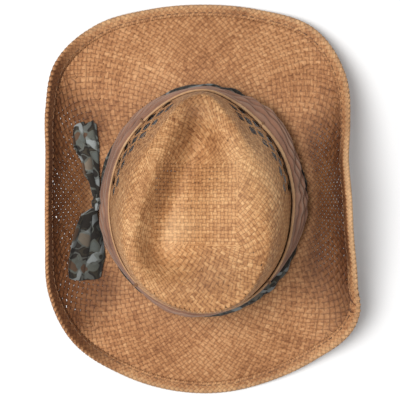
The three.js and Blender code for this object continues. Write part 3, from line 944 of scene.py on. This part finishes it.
def weave_panel(meshes, spacing=PANEL_STRAND):
    """The square of straight strands at the middle of the crown's top, with a rib along two sides."""
    rng = np.random.default_rng(31)
    lines = arange(-PANEL_HALF + spacing / 2, PANEL_HALF, spacing)
    along = arange(-PANEL_HALF - spacing, PANEL_HALF + 3.3, 1.05)
    share = (along + 40) / 80
    out = clip((abs(along) - PANEL_HALF) / 3, 0, 1)
    rib_shown = along > RIB_START
    for which, mesh in enumerate(meshes):
        sign = 2 * which - 1

        def strand_at(line, drift):
            line = line + drift * wobble(rng, 1, share)[0]
            return top_point(stack([along, line] if which else [line, along], -1) + PANEL_CENTRE)

        for k, line in enumerate(lines):
            p, normal = strand_at(line, 0.3)
            rise = sign * cos(pi * ((along - lines[0]) / spacing + k))
            p = p + normal * (RELIEF * rise - STRAW / 2 - 0.6 * out)[:, None]
            tone = rng.normal(0, 0.45) + 0.5 * wobble(rng, 1, share, 6)[0]
            mesh.strand(p, normal, np.full(len(p), spacing), tone, crown_shading(p))
        p, normal = strand_at(-sign * PANEL_HALF, 0.4)
        tone = 0.5 * wobble(rng, 1, share)[0]
        rib = (p - normal * RIB_DEPTH, normal, np.full(len(p), RIB_WIDTH), tone, crown_shading(p))
        mesh.strand(*(rows[rib_shown] for rows in rib), thickness=RIB_THICKNESS)


weave_panel(crown)
build_courses("crown", crown, STRAW_CROWN, "crown")

# ---------------- hem
HEM_TOP, HEM_UNDER = 2.5, -0.5  # lifts of the hem's two plies off the brim's lower face
HEM_INSET, FOLD_INSET, FOLD_OUT = 10.5, 0.6, 1.35
HEM_FLAT = HEM_INSET - FOLD_INSET
FOLD_LENGTH = pi / 2 * (FOLD_OUT + (HEM_TOP - HEM_UNDER) / 2)


def hem_place(degrees, s):
    """A point of the hem: s from the upper ply's raw edge, over the fold, to the lower ply's."""
    run = s * (2 * HEM_FLAT + FOLD_LENGTH)
    turn = clip((run - HEM_FLAT) / FOLD_LENGTH, 0, 1) * pi
    flat = maximum(HEM_FLAT - run, 0) + maximum(run - HEM_FLAT - FOLD_LENGTH, 0)
    inset = FOLD_INSET + flat - FOLD_OUT * sin(turn)
    lift = (HEM_TOP + HEM_UNDER) / 2 + (HEM_TOP - HEM_UNDER) / 2 * cos(turn)
    return edge_surface(degrees, inset, lift)


def hem_mid(degrees, s):
    e = 0.01
    across = hem_place(degrees, minimum(s + e, 1)) - hem_place(degrees, maximum(s - e, 0))
    round_it = hem_place(degrees + 0.5, s) - hem_place(degrees - 0.5, s)
    return hem_place(degrees, s), unit(cross(across, round_it))


def hem_shade_and_light(degrees, s):
    """Painted shade on the hem's upper ply on the left and near its raw edge on the right; its fold is
    lighter outside, with painted light on the right, where it faces the lamp.
    """
    left, right = near_angle(degrees, 185, 62, 16), near_angle(degrees, -3, 32, 16)
    raw_edge = 0.86 * maximum(left * smooth((0.44 - s) / 0.06), right * smooth((0.26 - s) / 0.06))
    outside = smooth((s - 0.26) / 0.06) * smooth((0.7 - s) / 0.1)
    return raw_edge - outside * (0.26 * right + 0.14 * (1 - maximum(left, right)))


hem = weave(
    hem_mid, seeds=(41, 42), count=250, stages=[], samples=30,
    width_of=lambda d, s: TIGHT,
    painted_shade_of=hem_shade_and_light,
    ends=0.06,
)
build_courses("hem", hem, STRAW_HEM, "brim_hem")


def hem_line(lift):
    """The path of a line of stitches on the hem's upper or lower face."""
    out = 1 if lift > STRAW / 2 else -1

    def path(degrees):
        inset = np.full_like(degrees, HEM_INSET - 2.0)
        p = edge_surface(degrees, inset, lift)
        return p, unit(edge_surface(degrees, inset, lift + out) - p)

    return path


STITCH_LIFT = RELIEF + STRAND / 2  # of a stitch's middle off a ply's
for name, lift in (("top", HEM_TOP + STITCH_LIFT), ("under", HEM_UNDER - STITCH_LIFT)):
    stitches = dashes(hem_line(lift), count=170, share=0.7, width=0.9, height=0.6)
    stitches.build(f"hem_thread_{name}", THREAD, f"hem_stitch_{name}")

# ---------------- hatband
BAND_BASE, BAND_TOP = 4.0, 36.0
BAND_LIFT = 0.9  # of its cloth where it lies flat
CLOTH = 0.7
PIPING = 2.6
AROUND = arange(0, 360, 1.0)[:, None]
SEAM = closed_curve([  # angle, height over the break where the print gives way to the plain wrap
    [0, 11], [60, 17], [90, 25], [120, 15], [180, 8], [225, 12], [250, 24], [285, 28], [315, 20], [345, 12],
])(AROUND)
CAMO_SHOWS = closed_curve([  # angle, 1 where the print pushes out past the wrap
    [0, 0.5], [10, 0.6], [30, 0], [60, 0], [74, 0.8], [90, 1], [104, 0.8], [120, 0], [140, 0.1], [156, 0.7],
    [168, 0.6], [180, 0], [205, 0], [222, 0.7], [236, 0.8], [252, 0.3], [268, 0.6], [282, 1.2], [308, 1.3],
    [324, 0.9], [342, 0.3],
])(AROUND)
SLACK = 3.2 * smooth((cos(radians(AROUND - 25)) - 0.25) / 0.6)  # the cloth sags on the right


def pleated_band(low, high, lift_low, lift_high, bulge, pleats, seed):
    """A band of cloth round the crown, in soft pleats that run along it and wander."""
    rng = np.random.default_rng(seed)
    a = radians(AROUND)
    k = linspace(0, 1, 27)[None]
    wander = sum(rng.uniform(0.1, 0.22) * sin(w * a + rng.uniform(0, 6)) for w in (2, 3, 5, 7))
    ridge = abs(sin(pi * (pleats * k + wander))) ** 0.8
    drag = 0.2 * sin(31 * a + 9 * k + 4 * wander) * sin(3 * a + 1) + 0.22 * sin(7 * a + seed)
    body = 1 - abs(2 * k - 1) ** 5
    lift = lift_low + (lift_high - lift_low) * k + body * bulge * (0.35 + 0.65 * ridge + drag)
    height = low + (high - low) * k + 0.4 * sin(11 * a + seed) * body
    # painted shade in the pleats' valleys and painted highlights on their crests
    deep = clip(1 - 2.0 * ridge, 0, 1) * (0.6 + 0.4 * sin(5 * a + seed))
    crest_highlight = clip(3 * ridge - 2.2, 0, 1) * (0.4 + 0.3 * sin(4 * a + 2 * seed + 6 * k))
    fold_shade = (deep - crest_highlight) * body
    return wall_surface(AROUND, height, lift), fold_shade


camo_bulge = 0.7 + 3.4 * CAMO_SHOWS + 0.8 * SLACK
camo_grid, fold_shade = pleated_band(BAND_BASE, SEAM + 1.5, BAND_LIFT, BAND_LIFT, camo_bulge, 2, 51)
# the whole camo band is darkened, by at least 0.4
cloth(
    "camo_band_cloth", camo_grid, CLOTH, CAMOUFLAGE, "camo_band",
    around=True, fold_shade=maximum(fold_shade, 0.4),
)
wrap_bulge = 3.0 - 1.6 * CAMO_SHOWS + SLACK
wrap_low = 4.0 - 2.3 * CAMO_SHOWS + 0.6 * SLACK
wrap_grid, fold_shade = pleated_band(SEAM, BAND_TOP, wrap_low, BAND_LIFT, wrap_bulge, 4, 52)
cloth(
    "wrap_band_cloth", wrap_grid, CLOTH, MAUVE, "wrap_band",
    around=True, fold_shade=fold_shade,
)


def wall_path(height, lift):
    """A path round the crown's wall."""

    def path(degrees):
        p = wall_surface(degrees, np.full_like(degrees, height), lift + 0 * degrees)
        return p, crown_normal(degrees, wall_v(degrees, height))

    return path


def add_piping(sides=10):
    """A bias strip along the band's top, puckered where it is sewn."""
    turns = arange(0, 360, 0.5)
    form = closed_curve([  # angle, half its height, half its thickness, lift
        [0, 2.3, 1.5, 1.9], [30, 2.5, 1.6, 1.9], [55, 2.3, 1.4, 1.3], [90, 1.4, 1.1, 0.7],
        [130, 1.3, 1.0, 0.5], [180, 1.2, 0.9, 0.4], [225, 0.9, 0.7, 0.4], [270, 0.9, 0.7, 0.5],
        [310, 1.6, 1.1, 1.2], [335, 2.0, 1.3, 1.7],
    ])
    high, thick, lift = (form(turns, column) for column in range(3))
    a = radians(turns)
    pucker = 1 + 0.06 * sin(90 * a) + 0.08 * sin(23 * a)
    p, normal = wall_path(BAND_TOP + GAP + PIPING / 2, lift)(turns)
    vertices, faces = tube(p, normal, high * pucker, thick * pucker, sides, closed=True)
    round_it = {"cloth_x": 90 * cos(a), "cloth_y": 90 * sin(a)}
    place = {key: np.repeat(values, sides) for key, values in round_it.items()}
    place["cloth_v"] = np.tile(arange(sides) * 0.8, len(turns))
    add_mesh("piping_cloth", vertices, faces, TAN, "band_piping", place)


add_piping()

TACK = np.array([  # height over the band's top, lift: over the band's edge and into the straw
    [-2.0, 0.6], [-1.0, 3.3], [0.2, 3.7], [1.4, 3.6], [2.6, 3.2], [3.6, 1.6], [4.4, -0.4],
])
for number, angle in enumerate((52, 128, 232, 308), 1):
    tack = Pile()
    for aside in (-0.45, 0.0, 0.45):
        heights = TACK[:, 0] + BAND_TOP
        turns = angle + aside + 0.15 * linspace(-1, 1, len(TACK))
        p = wall_surface(turns, heights, TACK[:, 1])
        normal = crown_normal(turns, wall_v(turns, heights))
        tack.add(*tube(p, normal, 0.38, 0.38, 7), tone=aside)
    tack.build(f"band_tack_thread_{number}", THREAD, f"band_tack_{number}")

# ---------------- sweatband and label
SWEATBAND_LOW, SWEATBAND_HIGH = 0.9, 32.0
SWEATBAND_LIFT = -3.1
rows = linspace(0, 1, 17)[None]
roll = 0.5 * exp(-((rows / 0.07) ** 2))
sweat_grid = wall_surface(
    AROUND,
    SWEATBAND_LOW + (SWEATBAND_HIGH - SWEATBAND_LOW) * rows + 0 * AROUND,
    SWEATBAND_LIFT - roll + 0.12 * sin(radians(AROUND * 40)) * rows,
)
cloth(
    "sweatband_tape", sweat_grid, 1.0, GROSGRAIN, "sweatband",
    around=True,
)
sweat_stitches = dashes(wall_path(2.8, SWEATBAND_LIFT - 1.1), 150, 0.68, 0.7, -0.5)
sweat_stitches.build("sweatband_thread", THREAD, "sweatband_stitch")


def node_box(node):
    """A CAD node's lowest and highest corners, in millimetres."""
    return (np.array(corner) * 1000 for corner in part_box(node))


def label_loop():
    """A tape that hangs down, turns up round its fold and lies back on itself, a little wavy."""
    low, high = node_box("size_label")
    drop, half = high[2] - low[2] - 0.5, 0.24
    down, bend = linspace(0, 1, 14), pi * linspace(0.2, 0.8, 4)
    y = concatenate([half + 0.5 * sin(pi * down) * down, half * cos(bend), -half + 0 * down])
    z = -concatenate([drop * down, drop + half * sin(bend), drop * down[::-1]])
    x = linspace(low[0], high[0], 25)[:, None]
    y = (low + high)[1] / 2 + y[None] * (1 + 0.15 * sin(x / 4))
    return stack(np.broadcast_arrays(x, y, high[2] + z[None]), -1)


cloth(
    "label_tape_loop", label_loop(), 0.25, TAPE, "size_label",
    body="label",
)

# ---------------- scarf knot and tails
knot_low, knot_high = node_box("scarf_knot")
KNOT = (knot_low + knot_high) / 2
KNOT_HALF = (knot_high - knot_low) / 2


def add_knot_body(sections=33, corners=48):
    """The gathered cloth inside the knot, in pleats that twist as they pass through."""
    a = (2 * pi * arange(corners) / corners)[None]
    v = linspace(-1.08, 1.08, sections)[:, None]
    flare = 0.42 + 0.58 * np.sqrt(clip(1 - (v / 1.12) ** 2, 0, 1))
    r = flare * (1 - 0.16 * abs(sin(3.5 * a + 1.6 * v)) ** 1.5)
    p = stack([r * cos(a), v + 0 * a, r * sin(a)], -1) * KNOT_HALF + KNOT
    place = {"cloth_x": 6 * a + 0 * v, "cloth_y": 0 * r, "cloth_v": 8 * v + 0 * a}
    place = {key: values.ravel() for key, values in place.items()}
    faces = tube_faces(sections, corners)
    add_mesh("scarf_knot_body", p.reshape(-1, 3), faces, CAMOUFLAGE, "scarf_knot", place)


def add_knot_wrap(sections=72, corners=16):
    """One turn of cloth over the knot."""
    a = 2 * pi * arange(sections) / sections
    out = stack([cos(a), 0 * a, sin(a)], -1)
    middle = KNOT + out * (KNOT_HALF + 0.25) + np.array([0, 1.6, 0]) * sin(a + 0.6)[:, None]
    wide, thick = 2.6 + 0.5 * sin(2 * a + 1), 0.75 + 0.2 * sin(3 * a)
    corner = np.tile(arange(corners), sections)
    place = {"cloth_x": np.repeat(a * 6, corners), "cloth_y": 0.0 * corner, "cloth_v": 0.7 * corner}
    vertices, faces = tube(middle, out, wide, thick, corners, closed=True)
    add_mesh("scarf_knot_wrap", vertices, faces, CAMOUFLAGE, "scarf_knot", place)


add_knot_body()
add_knot_wrap()

TAILS = {  # share of the length, then the left and right edges from the knot's centre
    "front": [
        [0, -3.4, 2.2], [0.19, -7, 2.4], [0.3, -12.2, 2], [0.475, -14.2, 2], [0.6, -18.6, 2.4],
        [0.7, -21.6, 2.4], [0.9, -22, 0.2], [1, -21.4, -0.4],
    ],
    "rear": [
        [0, -4.5, 0.5], [0.09, -14, 0], [0.235, -18, 1.5], [0.415, -21.7, 5], [0.61, -24, 7.3],
        [0.7, -25, 8], [0.82, -25.8, 6], [1, -25.4, 4],
    ],
}
END_CUTS = {  # share of the width, how far the cut runs past the tail's length
    "front": [[0, -8], [0.3, -1], [0.52, -4.5], [0.74, 0.5], [1, -3]],
    "rear": [[0, -1], [0.3, 1.5], [0.95, 0], [1, -2]],
}
TAIL_REACH = {"front": (1, 68.0), "rear": (-1, 63.0)}  # which way along y, and its length


def tail_grid(name, folds, tuck, shade, seed):
    """A scarf end laid on the brim: folds gathered at the knot, opening and drifting to its cut end.
    tuck is where across it the cloth is tucked under, with painted shade there, and shade how dark the rest
    is."""
    rng = np.random.default_rng(seed)
    side, reach = TAIL_REACH[name]
    rows, cuts = np.array(TAILS[name]), np.array(END_CUTS[name])
    s = linspace(0, 1, 70)[:, None]
    k = linspace(0, 1, 90)[None]
    left, right = (interp(s, rows[:, 0], rows[:, j]) for j in (1, 2))
    width = right - left
    phase = 2 * pi * folds * k + 2.2 * s + 0.6 * sin(5 * s + rng.uniform(0, 6))
    edge = sin(pi * clip(k, 0.001, 0.999)) ** 0.35
    overlap = minimum(2.2, 0.25 * width) * edge
    x = KNOT[0] + left + width * k + overlap * sin(phase)
    out = KNOT_HALF[1] - 1.5 + (reach + 2.5) * s + s**3 * interp(k, cuts[:, 0], cuts[:, 1])
    y = KNOT[1] + side * out
    tucked = exp(-(((k - tuck) / 0.16) ** 2)) * smooth((0.75 - s) / 0.4)
    high = (2.4 - 1.3 * s) * (1 + cos(phase)) * (0.35 + 0.65 * edge) * (1 - 0.8 * tucked)
    ripple = 0.25 * sin(9 * s + 14 * k + rng.uniform(0, 6)) * smooth(s / 0.3)
    leaving = KNOT[2] - 3  # height at which the cloth comes out of the knot
    resting = maximum(brim_top(x, y) + 0.9, leaving + (BREAK_HEIGHT - leaving) * smooth(s / 0.5))
    # painted shade in the folds' valleys and in the tuck, and no less than shade over the rest
    fold_shade = smooth(0.5 - 0.7 * cos(phase + 0.6)) ** 2 * (1 - 0.45 * s)
    fold_shade = maximum(fold_shade, maximum(tucked, shade))
    return stack([x, y, resting + high + maximum(ripple, -0.2)], -1), fold_shade


def add_tail(name, flat, **shape):
    grid, fold_shade = tail_grid(name, **shape)
    cloth(
        f"tail_{name}_cloth", grid, 0.5, CAMOUFLAGE, f"scarf_tail_{name}",
        body=f"{name}_tail", fold_shade=fold_shade,
    )


add_tail("front", flat=(0.031, 0.068), folds=2.5, tuck=0.6, shade=0.0, seed=61)
add_tail("rear", flat=(0.038, 0.063), folds=2.3, tuck=0.95, shade=0.42, seed=62)


# ---------------- floor, light, camera
def add_floor(half=6):
    mesh = bpy.data.meshes.new("floor")
    corners = [(-half, -half, 0), (half, -half, 0), (half, half, 0), (-half, half, 0)]
    mesh.from_pydata(corners, [], [(0, 1, 2, 3)])
    mesh.materials.append(Nodes("paper").finish((0.86, 0.86, 0.86, 1.0), 0.9))
    floor = link("floor", mesh)


def add_light(name, place, target, size, watts):
    light = bpy.data.lights.new(name, "AREA")
    light.shape = "DISK"
    light.size = size
    light.energy = watts
    lamp = link(name, light)
    lamp.location = place
    lamp.rotation_euler = (Vector(target) - Vector(place)).to_track_quat("-Z", "Y").to_euler()


def add_camera(place, lens):
    """A camera that looks straight down, as the photo does."""
    camera = bpy.data.cameras.new("camera")
    camera.sensor_width = 36
    camera.lens = lens
    camera.clip_start = 0.05
    eye = link("camera", camera)
    eye.location = place
    bpy.context.scene.camera = eye


add_floor()
add_light("key", place=(-0.42, 0.0, 1.35), target=(0, 0, 0.05), size=0.7, watts=18.5)
add_camera(place=(-0.0029, -0.001, 1.4), lens=132.5)

world = bpy.data.worlds.new("studio")
world.use_nodes = True
background = world.node_tree.nodes["Background"].inputs
background["Color"].default_value = (1, 1, 1, 1)
background["Strength"].default_value = 0.5
bpy.context.scene.world = world
bpy.context.scene.view_settings.view_transform = "Standard"
